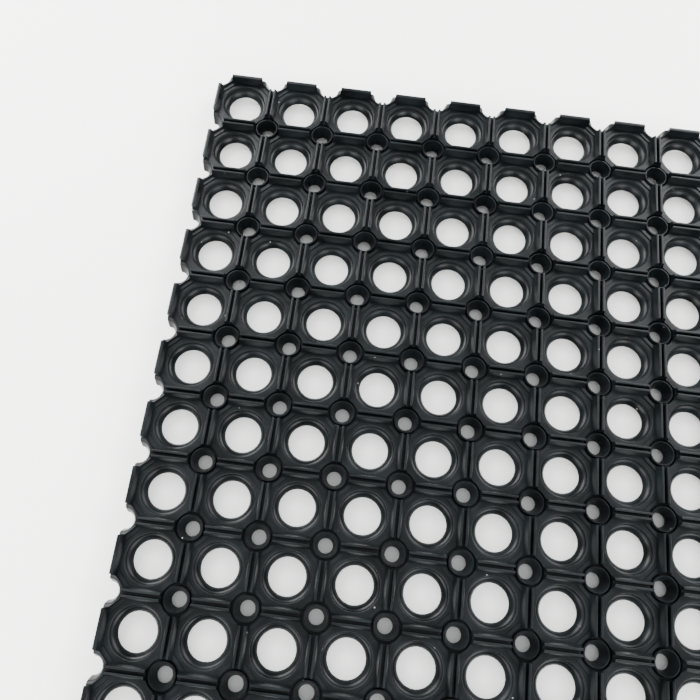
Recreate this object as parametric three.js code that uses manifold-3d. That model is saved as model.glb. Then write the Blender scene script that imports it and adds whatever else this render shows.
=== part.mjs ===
// Rubber bath mat, moulded in one piece.
// Millimetres, +Z up. The mat lies flat, centred on the origin, with its underside on z = 0.
// The sheet is a square grid of open wells. Each well goes down to an eight-sided ledge and then
// narrows to a round drain hole. Straight walls that taper upwards stand between the wells. They
// stop short of every place where four wells meet: there a lower collar stands round a small tube
// that goes right through. Along the outer edges the collars and tubes are cut in half, which
// leaves notches.

import * as THREE from 'three';
import { ConvexGeometry } from 'three/addons/geometries/ConvexGeometry.js';
import { mergeVertices } from 'three/addons/utils/BufferGeometryUtils.js';
import Module from 'manifold-3d';

// The grid of wells
const pitch = 40;
const columns = 10;
const rows = 15;

// Heights: short pins stand under the moulded body, and the ledge is measured from the body's
// underside
const pinLength = 4.5;
const bodyHeight = 13.5;
const ledgeHeight = 7.5;

// The walls between the wells, at the ledge and at the top
const wallWidth = 7.5;
const wallTopWidth = 4.7;

// The square that the walls leave free round each tube, from wall end to wall end
const collarWidth = 18;

// Diameters of the round holes
const drainDiameter = 22.4;
const tubeMouthDiameter = 14;
const tubeDrainDiameter = 9;

// A tube is drawn with few flats, and its stated diameters are across those flats
const tubeSides = 6;

// How far a cutting shape runs past the face that it cuts
const overrun = 1;

const width = columns * pitch;
const length = rows * pitch;
const thickness = pinLength + bodyHeight;
const ledgeZ = pinLength + ledgeHeight;
const wellHalf = (pitch - wallWidth) / 2;
const wellTopHalf = (pitch - wallTopWidth) / 2;
const wellReach = (pitch - collarWidth) / 2;

const wasm = await Module();
wasm.setup();

/** Turns a closed three.js geometry into a solid that can be cut and joined. */
function toSolid(geometry) {
  const bare = geometry.clone();
  bare.deleteAttribute('normal');
  bare.deleteAttribute('uv');
  const merged = mergeVertices(bare, 1e-4);
  return new wasm.Manifold(new wasm.Mesh({
    numProp: 3,
    vertProperties: Float32Array.from(merged.attributes.position.array),
    triVerts: Uint32Array.from(merged.index.array),
  }));
}

/** Turns a solid back into a three.js geometry. */
function toGeometry(solid) {
  const mesh = solid.getMesh();
  const geometry = new THREE.BufferGeometry();
  geometry.setAttribute('position', new THREE.BufferAttribute(Float32Array.from(mesh.vertProperties), 3));
  geometry.setIndex(new THREE.BufferAttribute(Uint32Array.from(mesh.triVerts), 1));
  geometry.computeVertexNormals();
  return geometry;
}

/** The eight corners, at height z, of a square with cut corners: half is from its centre to a
 *  side, and reach is how far each side runs from its middle to the cut. */
function cutSquare(half, reach, z) {
  const points = [];
  for (const [a, b] of [[half, reach], [reach, half]]) {
    for (const [sx, sy] of [[1, 1], [1, -1], [-1, 1], [-1, -1]]) {
      points.push(new THREE.Vector3(sx * a, sy * b, z));
    }
  }
  return points;
}

/** The room inside one well, centred on x = y = 0: the pocket between the walls and the funnel
 *  below its ledge. Both slanted faces go on past the top and the underside by the overrun. */
function wellRoom() {
  const drainHalf = drainDiameter / 2;
  const drainReach = drainHalf * Math.tan(Math.PI / 8);
  const rise = 1 + overrun / (thickness - ledgeZ);
  const fall = 1 + overrun / ledgeZ;
  const ledge = cutSquare(wellHalf, wellReach, ledgeZ);
  const top = cutSquare(wellHalf + (wellTopHalf - wellHalf) * rise, wellReach, thickness + overrun);
  const bottom = cutSquare(
    wellHalf + (drainHalf - wellHalf) * fall,
    wellReach + (drainReach - wellReach) * fall,
    -overrun,
  );
  const pocket = toSolid(new ConvexGeometry([...top, ...ledge]));
  const funnel = toSolid(new ConvexGeometry([...ledge, ...bottom]));
  return pocket.add(funnel);
}

/** The room above one collar and inside its tube, centred on x = y = 0. The tube widens upwards
 *  from the small drain to its mouth at the collar. */
function collarRoom() {
  const headroom = thickness - ledgeZ + overrun;
  const above = new THREE.BoxGeometry(collarWidth, collarWidth, headroom);
  above.translate(0, 0, ledgeZ + headroom / 2);

  const flare = (tubeMouthDiameter - tubeDrainDiameter) / 2 / ledgeZ;
  const flatsToCorners = 1 / Math.cos(Math.PI / tubeSides);
  const mouth = (tubeMouthDiameter / 2 + flare * overrun) * flatsToCorners;
  const drain = (tubeDrainDiameter / 2 - flare * overrun) * flatsToCorners;
  const tube = new THREE.CylinderGeometry(mouth, drain, ledgeZ + 2 * overrun, tubeSides);
  tube.rotateY(Math.PI / tubeSides);
  tube.rotateX(Math.PI / 2);
  tube.translate(0, 0, ledgeZ / 2);
  return toSolid(above).add(toSolid(tube));
}

/** The moulded sheet with all its wells, and with a collar at every crossing, edges included. */
function matGeometry() {
  const block = new THREE.BoxGeometry(width, length, thickness);
  block.translate(0, 0, thickness / 2);
  let solid = toSolid(block);

  const well = wellRoom();
  for (let column = 0; column < columns; column += 1) {
    for (let row = 0; row < rows; row += 1) {
      const x = (column + 0.5) * pitch - width / 2;
      const y = (row + 0.5) * pitch - length / 2;
      solid = solid.subtract(well.translate(x, y, 0));
    }
  }

  const collar = collarRoom();
  for (let column = 0; column <= columns; column += 1) {
    for (let row = 0; row <= rows; row += 1) {
      const x = column * pitch - width / 2;
      const y = row * pitch - length / 2;
      solid = solid.subtract(collar.translate(x, y, 0));
    }
  }
  return toGeometry(solid);
}

const blackRubber = new THREE.MeshStandardMaterial({
  color: 0x1b1d1e,
  roughness: 0.55,
  metalness: 0,
});

const mat = new THREE.Mesh(matGeometry(), blackRubber);
mat.name = 'bath_mat';

const part = new THREE.Group();
part.add(mat);

export default part;
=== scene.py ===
"""Rubber bath mat: the moulded mat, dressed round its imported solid, on a plain pale floor.

A quarter of a cell is cut from a block for each kind of crossing that the grid has, mirrored round
that crossing and repeated over the mat.
Sizes are in millimetres and heights are above the floor, until MM turns them into metres.
"""
from __future__ import annotations

import logging
import math
from dataclasses import dataclass, field
from enum import Enum

import bpy
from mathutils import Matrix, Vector


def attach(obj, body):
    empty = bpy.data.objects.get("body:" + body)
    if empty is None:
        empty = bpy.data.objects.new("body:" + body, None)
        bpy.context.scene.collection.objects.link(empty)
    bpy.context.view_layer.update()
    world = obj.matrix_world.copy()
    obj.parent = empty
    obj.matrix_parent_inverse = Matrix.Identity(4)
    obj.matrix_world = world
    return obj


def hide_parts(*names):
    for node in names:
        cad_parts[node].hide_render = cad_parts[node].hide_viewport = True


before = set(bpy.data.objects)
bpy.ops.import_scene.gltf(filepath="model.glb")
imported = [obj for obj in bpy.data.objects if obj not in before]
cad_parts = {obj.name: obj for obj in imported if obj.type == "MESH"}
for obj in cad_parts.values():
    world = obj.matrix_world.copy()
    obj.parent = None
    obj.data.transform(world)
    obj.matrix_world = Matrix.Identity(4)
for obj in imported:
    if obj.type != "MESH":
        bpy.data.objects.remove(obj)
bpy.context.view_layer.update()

MM = 0.001

# How far apart, in metres, two corners may lie and still be welded into one, and how far off a
# cutting plane a corner may lie and still count as on it
WELD = 2e-6
ON_PLANE = 1e-7

log = logging.getLogger("bath_mat")

Profile = tuple[tuple[float, float], ...]


class Side(Enum):
    """Which side of a plane a bisect throws away."""

    ABOVE = "above"
    BELOW = "below"


class Crossing(Enum):
    """What lies where walls cross. The value names the axes whose outer edge it lies on."""

    INNER = ()
    SIDE = (0,)
    END = (1,)
    CORNER = (0, 1)


def deselect() -> None:
    """Leave edit mode if it is on, and deselect every object."""
    if bpy.context.object and bpy.context.object.mode != "OBJECT":
        bpy.ops.object.mode_set(mode="OBJECT")
    bpy.ops.object.select_all(action="DESELECT")


def pick(obj: bpy.types.Object) -> None:
    """Make one object the only selected and the active one.

    Args:
        obj: The object to pick.
    """
    deselect()
    obj.select_set(True)
    bpy.context.view_layer.objects.active = obj


def settle(obj: bpy.types.Object) -> None:
    """Put an object's place, turn and scale into its mesh.

    Args:
        obj: The object to settle.
    """
    pick(obj)
    bpy.ops.object.transform_apply(location=True, rotation=True, scale=True)


def apply_modifier(obj: bpy.types.Object, kind: str, **settings: object) -> None:
    """Add a modifier and apply it.

    Args:
        obj: The object that gets it.
        kind: Blender's name for the modifier type.
        settings: Values to set on it.
    """
    pick(obj)
    modifier = obj.modifiers.new(kind.title(), kind)
    for name, value in settings.items():
        setattr(modifier, name, value)
    bpy.ops.object.modifier_apply(modifier=modifier.name)


def turned(profile: Profile, centre: tuple[float, float], sides: int) -> bpy.types.Object:
    """Make a closed turned solid, by extruding a round cap along a profile.

    Args:
        profile: Radius and height of each ring, from the bottom cap to the top cap.
        centre: The axis, in x and y.
        sides: How many flats the solid has.

    Returns:
        The solid, with its place in its mesh.
    """
    deselect()
    x, y = centre[0] * MM, centre[1] * MM
    radius, height = profile[0]
    bpy.ops.mesh.primitive_circle_add(
        vertices=sides, radius=radius * MM, fill_type="NGON", location=(x, y, height * MM)
    )
    solid = bpy.context.object
    bpy.ops.object.mode_set(mode="EDIT")
    bpy.ops.mesh.select_all(action="SELECT")
    for next_radius, next_height in profile[1:]:
        rise = (next_height - height) * MM
        bpy.ops.mesh.extrude_region_move(TRANSFORM_OT_translate={"value": (0, 0, rise)})
        grow = next_radius / radius
        bpy.ops.transform.resize(
            value=(grow, grow, 1), center_override=(x, y, next_height * MM)
        )
        radius, height = next_radius, next_height
    bpy.ops.mesh.select_all(action="SELECT")
    bpy.ops.mesh.normals_make_consistent(inside=False)
    settle(solid)
    return solid


def cut(block: bpy.types.Object, cutter: bpy.types.Object, operation: str = "DIFFERENCE") -> None:
    """Cut one solid from another, or join it on, and delete the cutter.

    Args:
        block: The solid that stays.
        cutter: The solid that is used up.
        operation: Blender's name for what the modifier does.
    """
    apply_modifier(block, "BOOLEAN", object=cutter, operation=operation, solver="EXACT")
    bpy.data.objects.remove(cutter, do_unlink=True)


def trim(obj: bpy.types.Object, axis: int, place: float, side: Side) -> None:
    """Cut an object off at an upright plane, and leave the cut open.

    Args:
        obj: The object to trim.
        axis: 0 for a plane across x, 1 for one across y.
        place: Where the plane stands, in millimetres.
        side: The side of the plane that goes.
    """
    pick(obj)
    bpy.ops.object.mode_set(mode="EDIT")
    bpy.ops.mesh.select_all(action="SELECT")
    bpy.ops.mesh.bisect(
        plane_co=tuple(place * MM if i == axis else 0 for i in range(3)),
        plane_no=tuple(1.0 if i == axis else 0.0 for i in range(3)),
        clear_outer=side is Side.ABOVE,
        clear_inner=side is Side.BELOW,
        threshold=ON_PLANE,
    )
    bpy.ops.object.mode_set(mode="OBJECT")


@dataclass
class Cell:
    """One quarter of a cell, from the middle of its drain at 0, 0 to the crossing at its corner."""

    pitch: float = 40.0
    underside: float = 4.5
    top: float = 18.0
    ledge: float = 12.0
    ledge_half: float = 16.25
    ledge_reach: float = 8.2
    shelf: float = 12.8
    shelf_half: float = 16.5
    shelf_reach: float = 11.2
    rib_half: float = 17.65
    rib_round: float = 0.35
    groove_half: float = 0.75
    groove_flare: float = 0.1
    groove_floor: float = 14.0
    bore_sides: int = 32
    tube_sides: int = 20
    pin_sides: int = 6
    pin_length: float = 4.5
    pin_root: float = 1.65
    pin_tip: float = 0.6
    pin_sink: float = 0.3
    overrun: float = 2.0
    # The bore narrows in steps from the ledge to the drain. The tube's cutter leaves a thin lip with
    # a narrow moat round it, and the notch's cutter leaves a shelf instead.
    bore: Profile = (
        (11.2, 2.5), (11.2, 5.4), (13.0, 8.3), (14.2, 8.5), (14.5, 8.8), (14.8, 11.5),
        (15.3, 12.0), (15.3, 12.6),
    )
    tube: Profile = (
        (4.5, 2.5), (4.5, 6.5), (6.3, 10.5), (6.7, 13.4), (7.0, 13.8), (7.5, 13.8), (7.8, 13.4),
        (7.9, 10.3), (9.1, 10.3), (9.3, 20.0),
    )
    notch: Profile = (
        (5.0, 2.5), (5.0, 6.5), (6.6, 12.5), (7.5, 14.0), (9.1, 14.3), (9.3, 20.0),
    )
    pin_by_tube: float = 13.0
    pin_by_strip: float = 5.5
    pin_edge_inset: float = 4.0

    def _block(self) -> bpy.types.Object:
        """Make the block that the quarter is cut from, a little wider than the quarter.

        Returns:
            The block.
        """
        deselect()
        side = self.pitch / 2 + 2 * self.overrun
        middle = self.pitch / 4
        depth = self.top - self.underside
        bpy.ops.mesh.primitive_cube_add(
            size=1, location=(middle * MM, middle * MM, (self.underside + depth / 2) * MM)
        )
        block = bpy.context.object
        block.scale = (side * MM, side * MM, depth * MM)
        settle(block)
        return block

    def _room(self, reach: float, profile: Profile) -> bpy.types.Object:
        """Make a room that is square with cut corners, and that widens as it goes up.

        Args:
            reach: How far a side runs from its middle to the cut corner, at the floor.
            profile: Half width and height of each ring, from the floor to the top.

        Returns:
            The room, as a solid to cut with.
        """
        deselect()
        half, height = profile[0]
        bpy.ops.mesh.primitive_plane_add(size=2 * half * MM, location=(0, 0, height * MM))
        room = bpy.context.object
        bpy.ops.object.mode_set(mode="EDIT")
        bpy.ops.mesh.select_all(action="SELECT")
        bpy.ops.mesh.bevel(
            offset=(half - reach) * MM, offset_type="OFFSET", segments=1, affect="VERTICES"
        )
        bpy.ops.mesh.select_all(action="SELECT")
        for next_half, next_height in profile[1:]:
            rise = (next_height - height) * MM
            bpy.ops.mesh.extrude_region_move(TRANSFORM_OT_translate={"value": (0, 0, rise)})
            grow = next_half / half
            bpy.ops.transform.resize(
                value=(grow, grow, 1), center_override=(0, 0, next_height * MM)
            )
            half, height = next_half, next_height
        bpy.ops.mesh.select_all(action="SELECT")
        bpy.ops.mesh.normals_make_consistent(inside=False)
        settle(room)
        return room

    def _pocket(self) -> bpy.types.Object:
        """Make the room between the walls, down to the shelf that frames the ledge.

        Returns:
            The room, as a solid to cut with.
        """
        return self._room(self.shelf_reach, (
            (self.shelf_half, self.shelf),
            (self.rib_half, self.top - self.rib_round),
            (self.rib_half + self.rib_round, self.top),
            (self.rib_half + self.rib_round + self.overrun, self.top + self.overrun),
        ))

    def _recess(self) -> bpy.types.Object:
        """Make the eight-sided step down from the shelf to the ledge.

        Returns:
            The step, as a solid to cut with.
        """
        above = self.shelf + (self.shelf - self.ledge)
        return self._room(self.ledge_reach, ((self.ledge_half, self.ledge), (self.ledge_half, above)))

    def _groove(self, axis: int) -> bpy.types.Object:
        """Make the groove between the two ribs of one wall, with its upper edges rounded off.

        Args:
            axis: 0 for the wall across x, 1 for the wall across y.

        Returns:
            The groove, as a solid to cut with.
        """
        deselect()
        reach = self.pitch / 2
        # Long enough to run past both sides of the block
        along = 3 * reach
        spot = [0.0, 0.0, self.groove_floor * MM]
        spot[axis] = reach * MM
        bpy.ops.mesh.primitive_plane_add(size=1, location=spot)
        groove = bpy.context.object
        size = [along * MM, along * MM, 1.0]
        size[axis] = 2 * self.groove_half * MM
        groove.scale = size
        settle(groove)
        bpy.ops.object.mode_set(mode="EDIT")
        bpy.ops.mesh.select_all(action="SELECT")
        half, height = self.groove_half, self.groove_floor
        upper_half = self.groove_half + self.groove_flare
        rings = (
            (upper_half, self.top - self.rib_round),
            (upper_half + self.rib_round, self.top),
            (upper_half + self.rib_round + self.overrun, self.top + self.overrun),
        )
        for next_half, next_height in rings:
            rise = (next_height - height) * MM
            bpy.ops.mesh.extrude_region_move(TRANSFORM_OT_translate={"value": (0, 0, rise)})
            grow = [1.0, 1.0, 1.0]
            grow[axis] = next_half / half
            middle = [0.0, 0.0, next_height * MM]
            middle[axis] = reach * MM
            bpy.ops.transform.resize(value=grow, center_override=middle)
            half, height = next_half, next_height
        bpy.ops.mesh.select_all(action="SELECT")
        bpy.ops.mesh.normals_make_consistent(inside=False)
        settle(groove)
        return groove

    def _pin(self, place: tuple[float, float]) -> bpy.types.Object:
        """Make one tapered pin, its root sunk a little into the web.

        Args:
            place: The pin's x and y.

        Returns:
            The pin.
        """
        profile = (
            (self.pin_tip, self.underside - self.pin_length),
            (self.pin_root, self.underside),
            (self.pin_root, self.underside + self.pin_sink),
        )
        return turned(profile, place, self.pin_sides)

    def _round_outer_edge(self, block: bpy.types.Object, axis: int) -> None:
        """Take the sharp upper edge off a wall that stands along the mat's outer edge.

        Args:
            block: The block, still closed, which gets cut off at the outer edge as well.
            axis: 0 for an outer edge across x, 1 for one across y.
        """
        outer = self.pitch / 2
        for normal, inset in (((1.0, 0.0), 0.0), ((1.0, 1.0), self.rib_round)):
            pick(block)
            bpy.ops.object.mode_set(mode="EDIT")
            bpy.ops.mesh.select_all(action="SELECT")
            spot, tilt = [0.0, 0.0, self.top * MM], [0.0, 0.0, normal[1]]
            spot[axis], tilt[axis] = (outer - inset) * MM, normal[0]
            bpy.ops.mesh.bisect(
                plane_co=spot, plane_no=tilt, use_fill=True, clear_outer=True, threshold=ON_PLANE
            )
            bpy.ops.object.mode_set(mode="OBJECT")

    def build(self, crossing: Crossing) -> bpy.types.Object:
        """Cut one quarter of a cell.

        Args:
            crossing: What lies at the quarter's corner.

        Returns:
            The quarter, open on the sides where the next ones join it.
        """
        quarter = self._block()
        corner = self.pitch / 2
        outer = crossing.value
        cut(quarter, self._pocket())
        cut(quarter, self._recess())
        cut(quarter, turned(self.bore, (0.0, 0.0), self.bore_sides))
        for axis in (0, 1):
            if axis not in outer:
                cut(quarter, self._groove(axis))
        hole = self.notch if outer else self.tube
        cut(quarter, turned(hole, (corner, corner), self.tube_sides))
        cut(quarter, self._pin((self.pin_by_tube, self.pin_by_tube)), "UNION")
        for axis in (0, 1):
            place = [self.pin_by_strip, self.pin_by_strip]
            place[axis] = corner - (self.pin_edge_inset if axis in outer else 0.0)
            cut(quarter, self._pin((place[0], place[1])), "UNION")
        for axis in outer:
            self._round_outer_edge(quarter, axis)
        for axis in (0, 1):
            trim(quarter, axis, 0.0, Side.BELOW)
            if axis not in outer:
                trim(quarter, axis, corner, Side.ABOVE)
        return quarter


@dataclass
class Mat:
    """The whole mat: quarters mirrored round their crossings, and repeated over the grid."""

    columns: int = 10
    rows: int = 15
    cell: Cell = field(default_factory=Cell)
    smooth_angle: float = 50.0
    face_weight: int = 80

    def _spread(self, quarter: bpy.types.Object, crossing: Crossing) -> bpy.types.Object:
        """Mirror a quarter round its crossing, and repeat it wherever that crossing comes.

        Args:
            quarter: The quarter, which grows into its share of the mat.
            crossing: What lies at the quarter's corner.

        Returns:
            The share of the mat.
        """
        step = self.cell.pitch * MM
        counts = (self.columns, self.rows)
        outer = crossing.value
        quarter.location = (-step / 2, -step / 2, 0)
        settle(quarter)
        apply_modifier(
            quarter, "MIRROR", use_axis=(0 not in outer, 1 not in outer, False),
            use_mirror_merge=True, merge_threshold=WELD,
        )
        quarter.location = tuple(
            counts[axis] * step / 2 if axis in outer else (1 - counts[axis] / 2) * step
            for axis in (0, 1)
        ) + (0,)
        settle(quarter)
        for axis in (0, 1):
            if axis not in outer:
                apply_modifier(
                    quarter, "ARRAY", count=counts[axis] - 1, use_relative_offset=False,
                    use_constant_offset=True, use_merge_vertices=True, merge_threshold=WELD,
                    constant_offset_displace=tuple(step if i == axis else 0 for i in range(3)),
                )
        if outer:
            apply_modifier(quarter, "MIRROR", use_axis=(0 in outer, 1 in outer, False))
        return quarter

    def _weld(self, shares: list[bpy.types.Object]) -> bpy.types.Object:
        """Join the shares of the mat into one closed piece.

        Args:
            shares: The shares, edge to edge.

        Returns:
            The joined piece.
        """
        piece = shares[0]
        pick(piece)
        for share in shares[1:]:
            share.select_set(True)
        bpy.ops.object.join()
        bpy.ops.object.mode_set(mode="EDIT")
        bpy.ops.mesh.select_all(action="SELECT")
        bpy.ops.mesh.remove_doubles(threshold=WELD)
        bpy.ops.mesh.normals_make_consistent(inside=False)
        bpy.ops.object.mode_set(mode="OBJECT")
        return piece

    def build(self) -> bpy.types.Object:
        """Build the mat.

        Returns:
            The finished mesh, undressed.
        """
        shares = [self._spread(self.cell.build(crossing), crossing) for crossing in Crossing]
        piece = self._weld(shares)
        piece.name = piece.data.name = "moulded_rubber_mat"
        pick(piece)
        bpy.ops.object.shade_smooth_by_angle(angle=math.radians(self.smooth_angle))
        apply_modifier(piece, "WEIGHTED_NORMAL", keep_sharp=True, weight=self.face_weight)
        return piece


def linear(colour: str) -> tuple[float, float, float, float]:
    """Turn an sRGB hex colour into linear values.

    Args:
        colour: The colour, as in "#1b1d1e".

    Returns:
        Red, green, blue and an alpha of 1.
    """
    parts = [int(colour[i:i + 2], 16) / 255 for i in (1, 3, 5)]
    red, green, blue = (p / 12.92 if p <= 0.04045 else ((p + 0.055) / 1.055) ** 2.4 for p in parts)
    return red, green, blue, 1.0


def add_node(
    tree: bpy.types.NodeTree, kind: str, inputs: dict | None = None, **settings: object
) -> bpy.types.Node:
    """Add a node with its settings, and fill or link its inputs.

    Args:
        tree: The material's node tree.
        kind: Blender's name for the node type.
        inputs: Input name or number, with the value or the output socket that goes there.
        settings: Values to set on the node itself.

    Returns:
        The node.
    """
    node = tree.nodes.new(kind)
    for name, value in settings.items():
        setattr(node, name, value)
    for name, value in (inputs or {}).items():
        if isinstance(value, bpy.types.NodeSocket):
            tree.links.new(value, node.inputs[name])
        else:
            node.inputs[name].default_value = value
    return node


@dataclass(frozen=True)
class MouldedRubber:
    """Black moulded rubber: a satin skin on the upper side, duller and warmer underneath."""

    top_colour: str = "#040607"
    mottle_colour: str = "#0a0e10"
    under_colour: str = "#262422"
    dust_colour: str = "#74756f"
    ior: float = 1.52
    satin: float = 0.27
    satin_spread: float = 0.14
    dull: float = 0.62
    # The specular level is low, so that flat faces stay nearly black under a bright sky
    shine: float = 0.1
    # The patterns' scales, the grain's depth and the specks' size are in millimetres
    grain: float = 1.1
    grain_depth: float = 0.08
    grain_strength: float = 0.35
    mottle: float = 16.0
    mottle_low: float = 0.38
    mottle_high: float = 0.66
    satin_low: float = 0.3
    satin_high: float = 0.7
    dust_spacing: float = 9.0
    dust_size: float = 0.45
    # A speck lies only where its random value passes this
    dust_cutoff: float = 0.72
    # The underside's finish is whole below this height, and fades out over the blend above it
    under_height: float = 4.8
    under_blend: float = 0.5

    def make(self) -> bpy.types.Material:
        """Make the material. The mould's satin skin gives soft broad highlights, a fine grain
        breaks them up, and pale dust lies here and there.

        Returns:
            The material.
        """
        material = bpy.data.materials.new("moulded_black_rubber")
        material.use_nodes = True
        tree = material.node_tree
        tree.nodes.clear()
        place = add_node(tree, "ShaderNodeTexCoord").outputs["Object"]
        height = add_node(tree, "ShaderNodeSeparateXYZ", {0: place}).outputs["Z"]
        under = add_node(tree, "ShaderNodeMapRange", {
            "Value": height,
            "From Min": (self.under_height + self.under_blend) * MM,
            "From Max": self.under_height * MM,
            "To Min": 0.0, "To Max": 1.0,
        }).outputs["Result"]
        mottle = add_node(tree, "ShaderNodeTexNoise", {
            "Vector": place, "Scale": 1 / (self.mottle * MM), "Detail": 3.0, "Roughness": 0.55,
        }).outputs["Fac"]
        grain = add_node(tree, "ShaderNodeTexNoise", {
            "Vector": place, "Scale": 1 / (self.grain * MM), "Detail": 2.0, "Roughness": 0.6,
        }).outputs["Fac"]
        patches = add_node(tree, "ShaderNodeMapRange", {
            "Value": mottle, "From Min": self.mottle_low, "From Max": self.mottle_high,
        }).outputs["Result"]
        skin = add_node(tree, "ShaderNodeMix", {
            0: patches, 6: linear(self.top_colour), 7: linear(self.mottle_colour),
        }, data_type="RGBA").outputs[2]
        body = add_node(tree, "ShaderNodeMix", {
            0: under, 6: skin, 7: linear(self.under_colour),
        }, data_type="RGBA").outputs[2]
        specks = add_node(tree, "ShaderNodeTexVoronoi", {
            "Vector": place, "Scale": 1 / (self.dust_spacing * MM), "Randomness": 1.0,
        })
        near = add_node(tree, "ShaderNodeMath", {
            0: specks.outputs["Distance"], 1: self.dust_size / self.dust_spacing,
        }, operation="LESS_THAN").outputs[0]
        chance = add_node(tree, "ShaderNodeSeparateColor", {0: specks.outputs["Color"]}).outputs[0]
        some = add_node(tree, "ShaderNodeMath", {
            0: chance, 1: self.dust_cutoff,
        }, operation="GREATER_THAN").outputs[0]
        dust = add_node(tree, "ShaderNodeMath", {0: near, 1: some}, operation="MULTIPLY").outputs[0]
        colour = add_node(tree, "ShaderNodeMix", {
            0: dust, 6: body, 7: linear(self.dust_colour),
        }, data_type="RGBA").outputs[2]
        gloss = add_node(tree, "ShaderNodeMapRange", {
            "Value": mottle, "From Min": self.satin_low, "From Max": self.satin_high,
            "To Min": self.satin, "To Max": self.satin + self.satin_spread,
        }).outputs["Result"]
        roughness = add_node(tree, "ShaderNodeMix", {
            0: under, 2: gloss, 3: self.dull,
        }, data_type="FLOAT").outputs[0]
        bump = add_node(tree, "ShaderNodeBump", {
            "Height": grain, "Strength": self.grain_strength, "Distance": self.grain_depth * MM,
        }).outputs["Normal"]
        shader = add_node(tree, "ShaderNodeBsdfPrincipled", {
            "Base Color": colour, "Roughness": roughness, "Normal": bump, "IOR": self.ior,
            "Specular IOR Level": self.shine,
        })
        add_node(tree, "ShaderNodeOutputMaterial", {"Surface": shader.outputs["BSDF"]})
        return material


@dataclass(frozen=True)
class PaleFloor:
    """A plain pale studio floor."""

    colour: str = "#e2e1de"
    roughness: float = 0.5
    half: float = 3000.0

    def build(self) -> bpy.types.Object:
        """Lay the floor at the height of the pin tips.

        Returns:
            The floor.
        """
        deselect()
        bpy.ops.mesh.primitive_plane_add(size=2 * self.half * MM, location=(0, 0, 0))
        floor = bpy.context.object
        floor.name = "studio_floor"
        material = bpy.data.materials.new("pale_floor")
        material.use_nodes = True
        shader = material.node_tree.nodes["Principled BSDF"]
        shader.inputs["Base Color"].default_value = linear(self.colour)
        shader.inputs["Roughness"].default_value = self.roughness
        floor.data.materials.append(material)
        return floor


@dataclass(frozen=True)
class Studio:
    """Soft studio light, and the camera at the photograph's viewing angle."""

    camera_place: tuple[float, float, float] = (-75.8, -40.8, 434.7)
    camera_turn: tuple[float, float, float] = (18.62, -1.74, 6.99)
    focal_pixels: float = 692.0
    image_pixels: float = 700.0
    sensor: float = 36.0
    near_clip: float = 10.0
    sky: str = "#eef2f4"
    sky_strength: float = 2.5
    lamp_far: float = 2000.0
    lamp_rise: float = 33.0
    lamp_size: float = 1300.0
    lamps: tuple[tuple[str, float, float], ...] = (
        ("far_left", 135.0, 145.0), ("far_right", 45.0, 95.0),
        ("near_left", 225.0, 72.0), ("near_right", 315.0, 82.0),
    )

    def light(self) -> None:
        """Set an even pale sky, and four large soft lamps low round the mat. Flat faces then look
        dark from above, and edges catch light."""
        world = bpy.data.worlds.new("soft_sky")
        bpy.context.scene.world = world
        world.use_nodes = True
        backdrop = world.node_tree.nodes["Background"]
        backdrop.inputs["Color"].default_value = linear(self.sky)
        backdrop.inputs["Strength"].default_value = self.sky_strength
        rise = math.radians(self.lamp_rise)
        for name, azimuth, power in self.lamps:
            turn = math.radians(azimuth)
            away = Vector((
                math.cos(turn) * math.cos(rise), math.sin(turn) * math.cos(rise), math.sin(rise)
            ))
            deselect()
            bpy.ops.object.light_add(type="AREA", location=away * self.lamp_far * MM)
            lamp = bpy.context.object
            lamp.name = "soft_lamp_" + name
            lamp.data.size = self.lamp_size * MM
            lamp.data.energy = power
            lamp.rotation_euler = away.to_track_quat("Z", "Y").to_euler()

    def aim(self) -> None:
        """Place the camera and make it the scene's own."""
        deselect()
        bpy.ops.object.camera_add(
            location=tuple(v * MM for v in self.camera_place),
            rotation=tuple(math.radians(v) for v in self.camera_turn),
        )
        camera = bpy.context.object
        camera.name = "view_from_above"
        camera.data.sensor_width = self.sensor
        camera.data.lens = self.focal_pixels / self.image_pixels * self.sensor
        camera.data.clip_start = self.near_clip * MM
        bpy.context.scene.camera = camera


def triangles(piece: bpy.types.Object) -> int:
    """Count a piece's triangles.

    Args:
        piece: The piece to count.

    Returns:
        How many triangles it has.
    """
    piece.data.calc_loop_triangles()
    return len(piece.data.loop_triangles)


def open_edges(piece: bpy.types.Object) -> int:
    """Count the edges that don't join exactly two faces.

    Args:
        piece: The piece to look at.

    Returns:
        How many there are, which is none on a closed piece.
    """
    uses = [0] * len(piece.data.edges)
    for loop in piece.data.loops:
        uses[loop.edge_index] += 1
    return sum(1 for count in uses if count != 2)


def main() -> None:
    """Build the mat, dress it, and set the floor, the light and the camera."""
    logging.basicConfig(level=logging.INFO, format="%(name)s: %(message)s")
    mat = Mat().build()
    mat.data.materials.clear()
    mat.data.materials.append(MouldedRubber().make())
    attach(mat, "root")
    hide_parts("bath_mat")
    log.info("%s: %d triangles, %d open edges", mat.name, triangles(mat), open_edges(mat))
    PaleFloor().build()
    studio = Studio()
    studio.light()
    studio.aim()
    log.info("floor, light and camera set")


if __name__ == "__main__":
    main()
